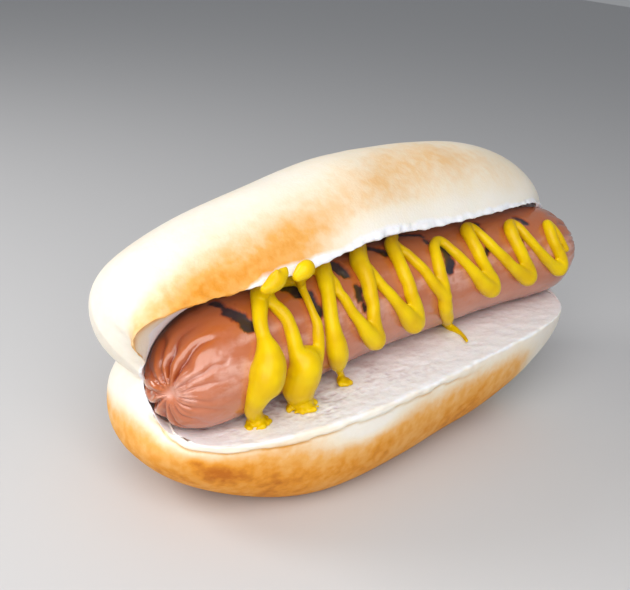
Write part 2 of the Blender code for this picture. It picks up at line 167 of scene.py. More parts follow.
# The crust swells out past the ends of the bed: at the lower half, the hinge and the upper half
END_BULGE = {"near": (4.4 * MM, 2.5 * MM, 7.7 * MM), "far": (0.0, 0.0, 0.0)}
BULGE_PLACES = (-0.45, 0.05, 0.45)
LIP_ARCH = 1.7 * MM             # the upper lip arches up by this much
LIP_ARCH_PLACE, LIP_ARCH_WIDTH = -11.3 * MM, 14.0 * MM
STATIONS = 232                  # rows of points along the bun
RUNS = 204                      # faces from lip to lip
LIP_CROWDING = 0.35             # how much closer the points lie at the lips than on average
END_EASE = 0.15                 # share of each half whose rows crowd towards the end
NEAR_CROWDING = 0.2             # rows lie this much closer on the near half


def smooth_step(value, low=0.0, high=1.0):
    value = np.clip((value - low) / (high - low), 0.0, 1.0)
    return value * value * (3.0 - 2.0 * value)


def superellipse_fall(value, power):
    """1 in the middle, falling to 0 with a round shoulder at value = 1."""
    return np.sqrt(np.maximum(1.0 - np.abs(value) ** power, 0.0))


def sausage_bend(x):
    """How far the sausage's centre line leaves a straight one at x, as (y, z)."""
    share = (x - (SAUSAGE_NEAR + SAUSAGE_FAR) / 2) / ((SAUSAGE_FAR - SAUSAGE_NEAR) / 2)
    lift = SAUSAGE_LIFT - SAUSAGE_PITCH * share - SAUSAGE_DROOP * share ** 2
    lift = lift - NOSE_DROOP * np.clip((SAUSAGE_NEAR + NOSE_REACH - x) / NOSE_REACH, 0.0, 1.0) ** 2
    return np.stack([-SAUSAGE_BOW * share ** 2, lift], axis=-1)


def sausage_axis(x):
    """Centre line of the sausage at x, as (y, z)."""
    straight = np.stack([SAUSAGE_Y + 0 * x, SAUSAGE_Z + SAUSAGE_SLOPE * x], axis=-1)
    return straight + sausage_bend(x)


def sausage_girth(x):
    """Share of the sausage's full radius at x: 1 along the body, 0 at the tips."""
    girth = 1.0
    for end, from_tip in (("near", x - SAUSAGE_NEAR), ("far", SAUSAGE_FAR - x)):
        girth = girth * superellipse_fall(1.0 - np.clip(from_tip / TIP_LENGTH[end], 0.0, 1.0), TIP_FULLNESS[end])
    return girth


def resample(line, shares):
    """Points of a line at the given shares of its length."""
    steps = np.linalg.norm(np.diff(line, axis=0), axis=1)
    along = np.concatenate([[0.0], np.cumsum(steps)]) / steps.sum()
    return np.stack([np.interp(shares, along, line[:, k]) for k in range(line.shape[1])], axis=1)


def arch(start, end, depth, fullness):
    """Superellipse arch from start to end, standing out to its right by depth."""
    chord = end - start
    outward = np.array([chord[1], -chord[0]]) / np.hypot(*chord)
    turn = np.linspace(0.0, math.pi, 400)
    along = np.sign(np.cos(turn)) * np.abs(np.cos(turn)) ** (2 / fullness)
    out = np.abs(np.sin(turn)) ** (2 / fullness)
    return (start + end) / 2 - np.outer(along, chord / 2) + np.outer(out, outward) * depth


def rim(radius, degrees):
    turn = math.radians(degrees)
    return np.array([radius * math.cos(turn), radius * math.sin(turn)])


def bed(lower_lip, upper_lip, radius):
    """Crumb lines: straight off each lip, and round the back of the sausage."""
    def touch(lip, side):
        reach = max(float(np.hypot(*lip)), radius * 1.01)
        return (math.atan2(lip[1], lip[0]) + side * math.acos(radius / reach)) % (2 * math.pi)
    def back(start, stop):
        turn = np.linspace(start, stop, 300)
        return np.stack([np.cos(turn), np.sin(turn)], axis=1) * radius
    lower = back(touch(lower_lip, 1), 2 * math.pi)
    upper = back(0.0, touch(upper_lip, -1))
    return np.vstack([lower_lip, lower]), np.vstack([upper, upper_lip])


def bun_section(share, across):
    """Crumb and crust of the bun at share of its length, from lip (-1) to lip (1)."""
    end = "near" if share < 0 else "far"
    x = (LOWER_NEAR + LOWER_FAR) / 2 + share * (LOWER_FAR - LOWER_NEAR) / 2
    centre = sausage_bend(x)
    radius = SAUSAGE_RADIUS * (1.0 - TIP_WRAP[end] * (1.0 - sausage_girth(x))) + BED_GAP
    lower_draw = LOWER_LIP_DRAW[end] * (1.0 - superellipse_fall(share, LOWER_LIP_ROUNDING[end]))
    upper_draw = UPPER_LIP_DRAW[end] * (1.0 - superellipse_fall(share, UPPER_LIP_ROUNDING[end]))
    lower_goal = centre + rim(LIP_CLEARANCE * radius, LOWER_TANGENT)
    upper_goal = centre + rim(LIP_CLEARANCE * radius + UPPER_LIP_GAP[end], UPPER_TANGENT)
    lower_lip = np.array(LOWER_LIP)
    upper_lip = np.array(UPPER_LIP) + share * np.array(UPPER_LIP_SLANT[end])
    upper_lip[1] += LIP_ARCH * math.exp(-((x - LIP_ARCH_PLACE) / LIP_ARCH_WIDTH) ** 2)
    lower_lip = lower_lip + (lower_goal - lower_lip) * lower_draw
    upper_lip = upper_lip + (upper_goal - upper_lip) * upper_draw
    hinge = np.array(HINGE)
    far_share = (1.0 + share) / 2.0
    lower_fullness = LOWER_FULLNESS["near"] + (LOWER_FULLNESS["far"] - LOWER_FULLNESS["near"]) * far_share
    upper_fullness = UPPER_FULLNESS["near"] + (UPPER_FULLNESS["far"] - UPPER_FULLNESS["near"]) * far_share
    lower_crust = arch(lower_lip, hinge, LOWER_DEPTH * (1.0 + LOWER_TAPER * share), lower_fullness)
    upper_crust = arch(hinge, upper_lip, UPPER_DEPTH * (1.0 + UPPER_TAPER * share), upper_fullness)
    lower_crumb, upper_crumb = bed(lower_lip - centre, upper_lip - centre, radius)
    lower = 1.0 + across[across <= 0]
    upper = across[across > 0]
    crust = np.vstack([resample(lower_crust, lower), resample(upper_crust, upper)])
    crumb = np.vstack([resample(lower_crumb, lower), resample(upper_crumb, upper)]) + centre
    return crumb, crust


def clearing(crumb, x):
    """The shift that takes each point of the crumb out of the sausage at that point's x."""
    away = crumb - sausage_bend(x)
    reach = np.hypot(away[:, 0], away[:, 1])
    needed = SAUSAGE_RADIUS * sausage_girth(x) + BED_GAP
    return away * (np.maximum(needed - reach, 0.0) / reach)[:, None]


def station_shares(count):
    """Places along the bun from -1 to 1, crowding where the ends turn in."""
    middles = (np.arange(count - 1) + 0.5) / (count - 1) * 2.0 - 1.0
    steps = np.minimum(1.0, (1.0 - np.abs(middles)) / END_EASE) * (1.0 + NEAR_CROWDING * middles)
    places = np.concatenate([[0.0], np.cumsum(steps)])
    return places / places[-1] * 2.0 - 1.0


def bun_sheets():
    """Rows of points for the crumb and for the crust, closing on each other at the ends."""
    spread = np.linspace(-1.0, 1.0, RUNS + 1)
    across = spread * (1.0 + LIP_CROWDING * (1.0 - np.abs(spread)))
    from_hinge = np.abs(across)
    reach = np.sqrt(smooth_step(from_hinge / HINGE_HALF_WIDTH))
    lip_share = from_hinge ** 6
    upper = across > 0
    near = HINGE_NEAR + (np.where(upper, UPPER_NEAR, LOWER_NEAR) - HINGE_NEAR) * reach
    far = HINGE_FAR + (np.where(upper, UPPER_FAR, LOWER_FAR) - HINGE_FAR) * reach
    near += np.where(upper, UPPER_LIP_CORNER["near"], LOWER_LIP_CORNER["near"]) * lip_share
    far -= np.where(upper, UPPER_LIP_CORNER["far"], LOWER_LIP_CORNER["far"]) * lip_share
    upper_share = smooth_step(across, -0.3, 0.3)
    crumb_rows = []
    crust_rows = []
    for share in station_shares(STATIONS):
        end = "near" if share < 0 else "far"
        crumb, crust = bun_section(share, across)
        lower_body = superellipse_fall(share, LOWER_ROUNDING[end])
        upper_body = superellipse_fall(share, UPPER_ROUNDING[end])
        parting = NOTCH_DEPTH[end] * np.exp(-((across - NOTCH_PLACE) / NOTCH_WIDTH) ** 2)
        parting *= smooth_step(abs(share), NOTCH_START, 1.0)
        body = ((lower_body + (upper_body - lower_body) * upper_share) * (1.0 - parting))[:, None]
        x = (near + far) / 2 + share * (far - near) / 2
        crust = crumb + (crust - crumb) * body
        shift = clearing(crumb, x)
        crumb = crumb + shift
        crust = crust + shift
        height = SAUSAGE_Z + SAUSAGE_SLOPE * x
        bulge = np.interp(across, BULGE_PLACES, END_BULGE[end]) * np.sin(math.pi * body[:, 0])
        outer_x = x + math.copysign(1.0, share) * bulge
        inner_x = x + (outer_x - x) * smooth_step(from_hinge, 0.55, 1.0)
        rise = END_RISE[end] * smooth_step(abs(share), RISE_START, 1.0)
        for rows, line, place in ((crumb_rows, crumb, inner_x), (crust_rows, crust, outer_x)):
            z = line[:, 1] + height
            z = z + rise * (1.0 - smooth_step(z, 0.0, RISE_REACH))
            low = FLOOR_EASE * np.clip((z / FLOOR_EASE + 1.0) / 2.0, 0.0, 1.0) ** 2
            rows.append(np.column_stack([place, line[:, 0] + SAUSAGE_Y, np.where(z > FLOOR_EASE, z, low)]))
    return np.array(crumb_rows), np.array(crust_rows), across


def edge_distance(rows):
    """Each point's distance to the nearest edge of its sheet, along the sheet."""
    along = np.linalg.norm(np.diff(rows, axis=0), axis=2)
    around = np.linalg.norm(np.diff(rows, axis=1), axis=2)
    from_near = np.vstack([np.zeros(rows.shape[1]), np.cumsum(along, axis=0)])
    from_lip = np.hstack([np.zeros((rows.shape[0], 1)), np.cumsum(around, axis=1)])
    to_far = from_near[-1] - from_near
    to_lip = from_lip[:, -1:] - from_lip
    return np.minimum(np.minimum(from_near, to_far), np.minimum(from_lip, to_lip))


def set_attribute(piece, name, values):
    attribute = piece.data.attributes.get(name) or piece.data.attributes.new(name, "FLOAT", "POINT")
    attribute.data.foreach_set("value", np.asarray(values, dtype=np.float32).ravel())


def read_attribute(piece, name):
    values = np.zeros(len(piece.data.vertices), dtype=np.float32)
    piece.data.attributes[name].data.foreach_get("value", values)
    return values


def bread_sheet(name, rows, across, side):
    """A grid primitive laid over rows of points, with its place on the bun as attributes."""
    stations, columns = rows.shape[:2]
    bpy.ops.mesh.primitive_grid_add(x_subdivisions=columns - 1, y_subdivisions=stations - 1)
    sheet = bpy.context.object
    sheet.name = name
    sheet.data.vertices.foreach_set("co", rows.ravel())
    set_attribute(sheet, "inwards", side * edge_distance(rows) / MM)
    set_attribute(sheet, "across", np.tile(across, stations))
    return sheet


def join_pieces(pieces, weld):
    """Joins pieces into the first, welds points closer than weld and turns faces outwards."""
    bpy.ops.object.select_all(action="DESELECT")
    for piece in pieces:
        piece.select_set(True)
    bpy.context.view_layer.objects.active = pieces[0]
    if len(pieces) > 1:
        bpy.ops.object.join()
    bpy.ops.object.mode_set(mode="EDIT")
    bpy.ops.mesh.select_all(action="SELECT")
    bpy.ops.mesh.remove_doubles(threshold=weld)
    bpy.ops.mesh.normals_make_consistent(inside=False)
    bpy.ops.object.mode_set(mode="OBJECT")
    return pieces[0]


def points_and_normals(piece):
    count = len(piece.data.vertices)
    points = np.zeros(count * 3, dtype=np.float32)
    normals = np.zeros(count * 3, dtype=np.float32)
    piece.data.vertices.foreach_get("co", points)
    piece.data.vertices.foreach_get("normal", normals)
    return points.reshape(-1, 3).astype(float), normals.reshape(-1, 3).astype(float)


def push_out(piece, height):
    """Moves each point of a piece along its normal by its own height."""
    points, normals = points_and_normals(piece)
    points += normals * height[:, None]
    points[:, 2] = np.maximum(points[:, 2], 0.0)
    piece.data.vertices.foreach_set("co", points.ravel())
    piece.data.update()


def grain(points, size, octaves=3, seed=0.0):
    """Soft noise, about -1 to 1, whose largest features are about size across."""
    shifted = points / size + seed
    return np.array([noise.fractal(Vector(p), 1.0, 2.0, octaves) for p in shifted])


def pores(points, size, seed=0.0):
    """1 in the middle of each pore, 0 at the walls between; pores are about size apart."""
    shifted = points / size + seed
    nearest = np.array([noise.voronoi(Vector(p))[0][0] for p in shifted])
    return 1.0 - smooth_step(nearest, 0.1, 0.62)


def smooth_by_group(piece, group, weights, factor, repeat):
    """Relaxes the points of a piece where the weights are high."""
    vertex_group = piece.vertex_groups.new(name=group)
    for index in np.flatnonzero(weights > 0.01):
        vertex_group.add([int(index)], float(weights[index]), "REPLACE")
    relax = piece.modifiers.new(group, "SMOOTH")
    relax.factor = factor
    relax.iterations = repeat
    relax.vertex_group = group
    bpy.context.view_layer.objects.active = piece
    bpy.ops.object.modifier_apply(modifier=relax.name)
    piece.vertex_groups.remove(piece.vertex_groups[group])


LIP_SOFTNESS = 2.2              # mm from the cut edge that is rounded over
LEDGE_WIDTH = 1.9               # mm of torn crust that stands over the lower crust
LEDGE_HEIGHT = 0.55 * MM
CRUST_UNEVENNESS = 0.35 * MM
CRUMB_PORE_DEPTH = 0.42 * MM
# Golden patches of the upper crust: x in mm, place across, length in mm, width across, strength
UPPER_BAKE = (
    (-68, 0.99, 14, 0.12, 0.40), (-52, 0.97, 15, 0.12, 0.46), (-34, 0.92, 15, 0.11, 0.34),
    (-10, 0.86, 18, 0.10, 0.24), (16, 0.78, 22, 0.12, 0.30), (46, 0.80, 18, 0.14, 0.12),
    (6, 0.42, 46, 0.20, 0.20),
)
# And of the lower crust: x, distance from the lip, length and width in mm, strength
LOWER_BAKE = (
    (-60.0, 7.5, 6.5, 3.4, 0.20), (-64.5, 5.0, 1.6, 1.3, 0.26), (-47.0, 2.8, 10.0, 2.2, 0.16), (27.0, 19.0, 15.0, 6.0, 0.10),
)

crumb_rows, crust_rows, across = bun_sheets()
crumb_sheet = bread_sheet("crumb side", crumb_rows, across, 1.0)
crust_sheet = bread_sheet("crust side", crust_rows, across, -1.0)
bun = join_pieces([crust_sheet, crumb_sheet], 0.002 * MM)
bun.name = "bread_bun"

inwards = read_attribute(bun, "inwards")
smooth_by_group(bun, "lip rounding", 1.0 - smooth_step(np.abs(inwards), 0.4, LIP_SOFTNESS), 0.5, 14)

points, normals = points_and_normals(bun)
across = read_attribute(bun, "across")
crust = smooth_step(-inwards, 0.0, 1.0)
crumb = smooth_step(inwards, 0.2, 1.6)
x = points[:, 0] / MM
lower_front = smooth_step(-across, 0.55, 0.75)
ledge_reach = 1.0 - smooth_step(x, -8.0, 14.0)
ledge_edge = LEDGE_WIDTH + 1.1 * grain(points * (1, 0.2, 0.2), 8 * MM, 3, 3.1)
ledge = (1.0 - smooth_step(-inwards, ledge_edge - 0.25, ledge_edge + 0.35)) * (inwards <= 0)
height = CRUST_UNEVENNESS * grain(points, 26 * MM, 2) * crust
height += LEDGE_HEIGHT * ledge * lower_front * ledge_reach
torn = 1.0 - smooth_step(np.abs(inwards), 0.5, 2.4)
height += (0.22 + 0.2 * (across > 0.8)) * MM * torn * grain(points, 2.2 * MM, 3, 5.0)
# Pores dent the crumb, and the same mask, kept as an attribute, darkens the crumb's colour in them as painted shade
pore_and_shade = 0.75 * pores(points, 1.7 * MM, 2.0) + 0.45 * pores(points, 0.95 * MM, 7.0)
coarse = 0.45 + 0.55 * smooth_step(grain(points, 9 * MM, 2, 9.0), -0.3, 0.4)
beside_sausage = smooth_step(inwards, 1.0, 7.0)
near_end = 1.0 - smooth_step(x, -64.0, -56.0)
pore_depth_and_shade = pore_and_shade * crumb * coarse * (0.35 + 0.65 * beside_sausage) * (1.0 - near_end)
pore_depth_and_shade *= 1.0 - 0.7 * smooth_step(x, -40.0, 10.0)
height -= CRUMB_PORE_DEPTH * pore_depth_and_shade
height += 0.18 * MM * crumb * (1.0 - near_end) * grain(points, 3.2 * MM, 3, 1.0)
crease_and_shadow = np.exp(-((-inwards - ledge_edge - 0.2) / 0.35) ** 2) * lower_front * ledge_reach
height -= 0.3 * MM * crease_and_shadow
wrinkled = smooth_step(across, 0.5, 0.7) * (1.0 - smooth_step(x, -62.0, -52.0)) * crust
height += 0.20 * MM * wrinkled * grain(points * (1, 0.3, 1), 1.7 * MM, 2, 6.5)
push_out(bun, height)
set_attribute(bun, "pore_and_shade", pore_depth_and_shade)
tear = 1.7 * smooth_step(x, -56.0, -44.0) - 7.0 * (1.0 - smooth_step(x, -60.0, -50.0))
set_attribute(bun, "torn", tear * smooth_step(across, 0.55, 0.8))

# Browning, 0 for pale dough to 1 for the darkest patches, with a painted shadow line added under the torn ledge
from_lip = -inwards
drop = (SAUSAGE_Z - points[:, 2]) / MM
lower = smooth_step(-across, 0.02, 0.12)
band = np.interp(x, (-50.0, -29.0, -10.0), (0.0, 2.6, 0.8))
lower_bake = 0.08 + 0.44 * smooth_step(from_lip, band, band + 6.5) + 0.22 * smooth_step(drop, 13.0, 24.0)
lower_bake -= 0.30 * np.exp(-((x + 29.0) / 11.0) ** 2 - ((from_lip - 5.0) / 3.5) ** 2)
lower_bake *= 1.0 - 0.9 * smooth_step(x, 24.0, 40.0)
lower_bake *= smooth_step(drop, 9.0, 15.0) + smooth_step(drop, 15.0, 9.0) * smooth_step(x, -66.0, -56.0)
for patch_x, patch_drop, length, width, strength in LOWER_BAKE:
    lower_bake += strength * np.exp(-((x - patch_x) / length) ** 2 - ((from_lip - patch_drop) / width) ** 2)
upper_bake = 0.04 + 0.0 * x
for patch_x, patch_across, length, width, strength in UPPER_BAKE:
    upper_bake += strength * np.exp(-((x - patch_x) / length) ** 2 - ((across - patch_across) / width) ** 2)
upper_bake *= 1.0 - 0.85 * smooth_step(across, 0.90, 0.97) * smooth_step(x, -40.0, -14.0)
bake_and_shadow = lower * lower_bake + (1.0 - lower) * upper_bake
bake_and_shadow += (0.03 + 0.08 * bake_and_shadow) * grain(points, 15 * MM, 3, 4.0)
# The crease under the torn ledge is browned too: a painted shadow line under the overhang
bake_and_shadow += 0.30 * crease_and_shadow
set_attribute(bun, "bake_and_shadow", np.clip(bake_and_shadow, 0.0, 1.0))
bun.data.shade_smooth()


def add_node(tree, kind, place, inputs=None, **settings):
    """A shader node at a place in the tree, with its settings and its input values or links."""
    node = tree.nodes.new(kind)
    node.location = place
    for name, value in settings.items():
        setattr(node, name, value)
    for name, value in (inputs or {}).items():
        if isinstance(value, bpy.types.NodeSocket):
            tree.links.new(value, node.inputs[name])
        else:
            node.inputs[name].default_value = value
    return node


def add_mottle_group():
    """Uneven patches as a mask: 0 below Low of the noise, 1 above High."""
    tree = bpy.data.node_groups.new("mottle", "ShaderNodeTree")
    vector = tree.interface.new_socket("Vector", in_out="INPUT", socket_type="NodeSocketVector")
    vector.hide_value = True
    for name, value in (("Scale", 100.0), ("Detail", 3.0), ("Low", 0.4), ("High", 0.6)):
        socket = tree.interface.new_socket(name, in_out="INPUT", socket_type="NodeSocketFloat")
        socket.default_value = value
    tree.interface.new_socket("Mask", in_out="OUTPUT", socket_type="NodeSocketFloat")
    start = add_node(tree, "NodeGroupInput", (-400, 0)).outputs
    clouds = add_node(tree, "ShaderNodeTexNoise", (-200, 0), {
        "Vector": start["Vector"], "Scale": start["Scale"], "Detail": start["Detail"]})
    ramp = add_node(tree, "ShaderNodeMapRange", (0, 0), {
        "Value": clouds.outputs["Fac"], "From Min": start["Low"], "From Max": start["High"]},
        interpolation_type="SMOOTHSTEP")
    add_node(tree, "NodeGroupOutput", (200, 0), {"Mask": ramp.outputs["Result"]})
    return tree


mottle_group = add_mottle_group()


def mottle(tree, place, vector, scale, detail, low, high):
    """A mottle group in a material, with its own values."""
    group = tree.nodes.new("ShaderNodeGroup")
    group.node_tree = mottle_group
    group.location = place
    tree.links.new(vector, group.inputs["Vector"])
    for name, value in (("Scale", scale), ("Detail", detail), ("Low", low), ("High", high)):
        group.inputs[name].default_value = value
    return group.outputs["Mask"]


def mix_colour(tree, place, mask, first, second):
    """first where the mask is 0 and second where it is 1, each a colour or a socket."""
    node = tree.nodes.new("ShaderNodeMix")
    node.data_type = "RGBA"
    node.location = place
    for socket, value in ((node.inputs[0], mask), (node.inputs[6], first), (node.inputs[7], second)):
        if isinstance(value, bpy.types.NodeSocket):
            tree.links.new(value, socket)
        else:
            socket.default_value = value
    return node.outputs[2]


def maths(tree, place, operation, *values, clamp=False):
    node = tree.nodes.new("ShaderNodeMath")
    node.operation = operation
    node.use_clamp = clamp
    node.location = place
    for socket, value in zip(node.inputs, values):
        if isinstance(value, bpy.types.NodeSocket):
            tree.links.new(value, socket)
        else:
            socket.default_value = value
    return node.outputs[0]


def colour_ramp(tree, place, value, stops):
    """Colours at given values, blended in between."""
    node = tree.nodes.new("ShaderNodeValToRGB")
    node.location = place
    elements = node.color_ramp.elements
    while len(elements) < len(stops):
        elements.new(0.5)
    for element, (position, colour) in zip(elements, stops):
        element.position = position
        element.color = (*colour, 1.0)
    tree.links.new(value, node.inputs["Fac"])
    return node.outputs["Color"]


def new_finish(name, roughness, subsurface=0.0, radius=(1.0, 0.5, 0.3), scale=1.0 * MM, coat=0.0, coat_roughness=0.1):
    """A material with its shader's constants set, and the sockets most finishes need."""
    finish = bpy.data.materials.new(name)
    finish.use_nodes = True
    tree = finish.node_tree
    shader = tree.nodes["Principled BSDF"]
    shader.inputs["Roughness"].default_value = roughness
    shader.inputs["Subsurface Weight"].default_value = subsurface
    shader.inputs["Subsurface Radius"].default_value = radius
    shader.inputs["Subsurface Scale"].default_value = scale
    shader.inputs["Coat Weight"].default_value = coat
    shader.inputs["Coat Roughness"].default_value = coat_roughness
    shader.location = (900, 0)
    tree.nodes["Material Output"].location = (1200, 0)
    place = add_node(tree, "ShaderNodeTexCoord", (-1200, 0)).outputs["Object"]
    return finish, tree, shader, place


def attribute_value(tree, place, name):
    return add_node(tree, "ShaderNodeAttribute", place, attribute_name=name).outputs["Fac"]


DOUGH = ((0.0, (0.93, 0.89, 0.81)), (0.2, (0.92, 0.80, 0.62)), (0.4, (0.88, 0.61, 0.34)),
         (0.6, (0.85, 0.44, 0.12)), (0.8, (0.77, 0.31, 0.03)), (1.0, (0.52, 0.15, 0.010)))
CRUMB_WHITE = (0.93, 0.94, 0.98, 1.0)
CRUMB_SHADE = (0.62, 0.52, 0.57, 1.0)

bread, tree, shader, place = new_finish("baked bread", 0.62, 0.15, (1.0, 0.7, 0.5), 1.0 * MM)
bake_and_shadow_value = attribute_value(tree, (-1000, 300), "bake_and_shadow")
fine = mottle(tree, (-1000, 100), place, 420.0, 4.0, 0.30, 0.70)
patch = mottle(tree, (-1000, -100), place, 130.0, 3.0, 0.30, 0.70)
spread = maths(tree, (-800, 100), "MULTIPLY_ADD", fine, 0.16, -0.08)
spread = maths(tree, (-650, 100), "MULTIPLY_ADD", patch, 0.10, spread)
strength = maths(tree, (-800, 300), "MULTIPLY_ADD", bake_and_shadow_value, 1.4, 0.12, clamp=True)
browning_and_shadow = maths(tree, (-500, 200), "MULTIPLY_ADD", spread, strength, bake_and_shadow_value, clamp=True)
crust_colour = colour_ramp(tree, (-300, 200), browning_and_shadow, DOUGH)
# The crumb turns towards CRUMB_SHADE in its pores and in fine noise holes: painted shade in the pits
pore_shade_value = attribute_value(tree, (-1000, -300), "pore_and_shade")
hole_shade = mottle(tree, (-1000, -500), place, 900.0, 3.0, 0.52, 0.75)
shade = maths(tree, (-600, -400), "MULTIPLY_ADD", hole_shade, 0.14, pore_shade_value, clamp=True)
crumb_colour = mix_colour(tree, (-300, -300), shade, CRUMB_WHITE, CRUMB_SHADE)
edge = maths(tree, (-600, -100), "MULTIPLY_ADD", patch, 1.2, attribute_value(tree, (-1000, -700), "inwards"))
edge = maths(tree, (-450, -100), "ADD", edge, attribute_value(tree, (-1000, -850), "torn"))
edge = add_node(tree, "ShaderNodeMapRange", (-300, -50), {
    "Value": edge, "From Min": -0.1, "From Max": 0.9}).outputs["Result"]
colour = mix_colour(tree, (500, 0), edge, crust_colour, crumb_colour)
tree.links.new(colour, shader.inputs["Base Color"])
shader.inputs["Specular IOR Level"].default_value = 0.2
fuzz = add_node(tree, "ShaderNodeTexNoise", (-300, -600), {"Vector": place, "Scale": 1500.0, "Detail": 4.0})
bump = add_node(tree, "ShaderNodeBump", (500, -300), {
    "Strength": 0.35, "Distance": 0.25 * MM, "Height": fuzz.outputs["Fac"]})
tree.links.new(bump.outputs["Normal"], shader.inputs["Normal"])
bun.data.materials.clear()
bun.data.materials.append(bread)
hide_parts("bun")
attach(bun, "root")


# ----------------------------------------------------------------- sausage
# A grilled sausage in a smooth casing, tied off at both ends, so its skin
# gathers in folds round a puckered tip.  It is moist, pinkish tan with orange
# streaks, and a grill bar has left a row of dark burnt marks along the top.

SAUSAGE_SIDES = 200
SAUSAGE_RINGS = 300
PUCKER_PLACES = {"near": (0.7, 68.0), "far": (2.0, 60.0)}  # mm from the tip, angle from the top
# Folds round a pucker: how many, how deep, how far they reach, and how fine they start, in mm
FOLDS = ((13, 1.30, 17.0, 1.0), (25, 0.40, 8.0, 0.3))
FOLD_SIDES = ((70, 48, 1.0), (-50, 40, 0.9))    # the broad ones lie to these sides, in degrees
DIMPLE_DEPTH = 1.3 * MM
CHAR_DEPTH = 0.35 * MM
# Burnt marks: (x in mm, angle from the top towards the front) from end to end, and half width
CHAR_MARKS = (
    ((-52.9, -8), (-52.3, 14), 1.0), ((-52.3, 14), (-50.2, 38), 1.5), ((-38.5, -8), (-37, 8), 2.0),
    ((-37, 8), (-34.4, 27), 1.9), ((-31.6, 34), (-32.4, 55), 1.1), ((-21, -8), (-19.6, 22), 1.7),
    ((-18.8, 43), (-18.5, 55), 1.3), ((-18.4, 58), (-18.2, 68), 0.7), ((-6.5, -10), (-3.7, 14), 1.5),
    ((8.5, -12), (12.3, 3), 1.0), ((11.2, 16), (11.2, 22), 0.8), ((14.8, 30), (13.2, 57), 1.4),
    ((33.2, 10), (32.6, 18), 0.9), ((29.4, 47), (28.6, 52), 0.95), ((47.7, 13), (49.7, 23), 1.0),
    ((43.9, 48), (43.6, 52), 0.6),
)


def around_point(x, angle, away=0.0):
    """A place on the sausage: x in mm, angle in degrees from the top towards the front."""
    x = np.asarray(x, dtype=float) * MM
    centre = sausage_axis(x)
    radius = SAUSAGE_RADIUS * sausage_girth(x) + away
    turn = np.radians(angle)
    return np.stack([x, centre[..., 0] - radius * np.sin(turn), centre[..., 1] + radius * np.cos(turn)], axis=-1)


bpy.ops.object.select_all(action="DESELECT")
bpy.ops.mesh.primitive_uv_sphere_add(segments=SAUSAGE_SIDES, ring_count=SAUSAGE_RINGS)
sausage = bpy.context.object
sausage.name = "grilled_sausage"
ball, _ = points_and_normals(sausage)
x = (SAUSAGE_NEAR + SAUSAGE_FAR) / 2 + (SAUSAGE_FAR - SAUSAGE_NEAR) / 2 * ball[:, 2]
angle = np.degrees(np.arctan2(ball[:, 1], ball[:, 0]))
points = around_point(x / MM, angle)
sausage.data.vertices.foreach_set("co", points.ravel())
sausage = join_pieces([sausage], 0.0001 * MM)

points, normals = points_and_normals(sausage)
x = points[:, 0] / MM
centre = sausage_axis(points[:, 0])
angle = np.degrees(np.arctan2(-(points[:, 1] - centre[:, 0]), points[:, 2] - centre[:, 1]))
height = 0.30 * MM * grain(points * (0.5, 1, 1), 11 * MM, 3, 2.0)
fold_shade = np.zeros(len(points))
for end, (inset, tip_angle) in PUCKER_PLACES.items():
    tip_x = (SAUSAGE_NEAR / MM + inset) if end == "near" else (SAUSAGE_FAR / MM - inset)
    middle = around_point(tip_x, tip_angle)
    offset = (points - middle) / MM
    away = np.linalg.norm(offset, axis=1)
    turn = np.arctan2(offset[:, 2], offset[:, 1])
    wander = 1.3 * grain(np.column_stack([np.cos(turn), np.sin(turn), away / 9.0]), 0.6, 2, 4.0)
    sides = 0.22 + sum(most * np.exp(-((np.degrees(turn) - middle) / width) ** 2) for middle, width, most in FOLD_SIDES)
    for count, depth, reach, start in FOLDS:
        wave = np.abs(np.cos(turn * count / 2 + wander))
        strength = smooth_step(away, start, start + 3.0) * (1.0 - smooth_step(away, 0.35 * reach, reach))
        strength *= sides if count < 20 else 1.0
        height -= depth * MM * strength * (1.0 - wave ** 0.8)
        # The grooves between the folds are also marked for colour: painted shade in the creases
        fold_shade += 0.9 * depth * strength * (1.0 - wave) ** 1.5
    height -= DIMPLE_DEPTH * np.exp(-(away / 2.0) ** 2)
char = np.zeros(len(points))
place = np.column_stack([x, np.radians(angle) * SAUSAGE_RADIUS / MM])
ragged = 1.1 * grain(points, 2.2 * MM, 4, 6.0)
for start, stop, half_width in CHAR_MARKS:
    start = np.array([start[0], math.radians(start[1]) * SAUSAGE_RADIUS / MM])
    stop = np.array([stop[0], math.radians(stop[1]) * SAUSAGE_RADIUS / MM])
    along = np.clip((place - start) @ (stop - start) / ((stop - start) @ (stop - start)), 0.0, 1.0)
    distance = np.linalg.norm(place - start - along[:, None] * (stop - start), axis=1)
    char = np.maximum(char, 1.0 - smooth_step(distance + ragged, half_width - 0.9, half_width + 0.5))
height -= CHAR_DEPTH * char
height += 0.05 * MM * grain(points, 1.1 * MM, 2, 8.0) * (1.0 + 2.0 * char)
push_out(sausage, height)
set_attribute(sausage, "fold_shade", np.clip(fold_shade, 0.0, 1.0))
set_attribute(sausage, "char", char)
patches = 14.0 * grain(points * (0.4, 1, 1), 8 * MM, 3, 5.0)
# The top, which lies under the upper lip, turns orange: roasting, deepened as painted shade under the lip
set_attribute(sausage, "roast_and_lip_shade", 1.0 - smooth_step(angle + patches, 22.0, 50.0))
# Pink streaks are kept to the front-upper side that faces the soft box: the skin's pink, lightened as a painted sheen
set_attribute(sausage, "pale", smooth_step(angle + patches, 38.0, 60.0) * (1.0 - smooth_step(angle + patches, 72.0, 98.0)))
sausage.data.shade_smooth()

SKIN_TAN = (0.53, 0.16, 0.068, 1.0)
SKIN_PINK = (0.78, 0.45, 0.37, 1.0)
SKIN_ORANGE = (0.48, 0.12, 0.024, 1.0)
SKIN_RED = (0.30, 0.045, 0.010, 1.0)
CHAR_BLACK = (0.020, 0.010, 0.020, 1.0)

